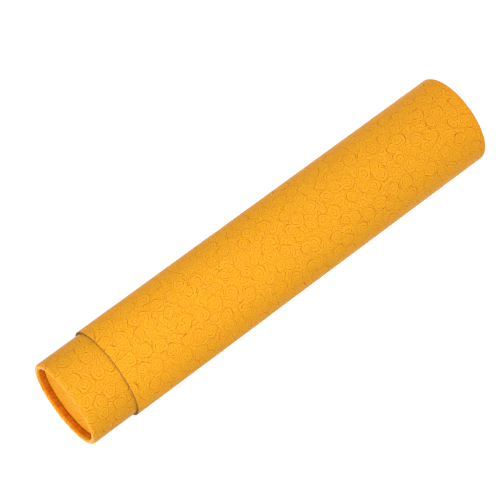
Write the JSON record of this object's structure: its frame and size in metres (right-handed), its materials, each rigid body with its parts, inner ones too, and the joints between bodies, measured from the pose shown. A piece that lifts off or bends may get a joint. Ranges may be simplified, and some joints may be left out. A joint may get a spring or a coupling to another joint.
{
  "type": "telescopic poster tube",
  "caption": "Two paper-covered board tubes, each closed at one end by a recessed disc under a rolled rim; the narrow one slides inside the wide one to store a rolled poster.",
  "frame": {"origin": "middle of the closed end of the wide tube, on the crest of its rolled rim, which it stands on", "axes": "+Z along the tubes' common axis, towards the closed end of the narrow tube; +Y towards the lap seams of the facing paper"},
  "size_m": [0.066, 0.0662, 0.337],
  "materials": {
    "facing_paper": "golden orange embossed paper, satin",
    "disc_facing": "board disc faced with the same embossed paper, satin",
    "grey_board": "raw grey-brown wound board, matt"
  },
  "bodies": {
    "outer_tube": {"outer_tube_board": "grey_board", "outer_tube_facing": "facing_paper", "outer_end_disc": "disc_facing"},
    "inner_tube": {"inner_tube_board": "grey_board", "inner_tube_facing": "facing_paper", "inner_end_disc": "disc_facing"}
  },
  "joints": [
    {"name": "inner_tube_slide", "type": "slide", "parent": "outer_tube", "child": "inner_tube", "axis": [0, 0, 1], "range_m": [0, 0.305]}
  ]
}
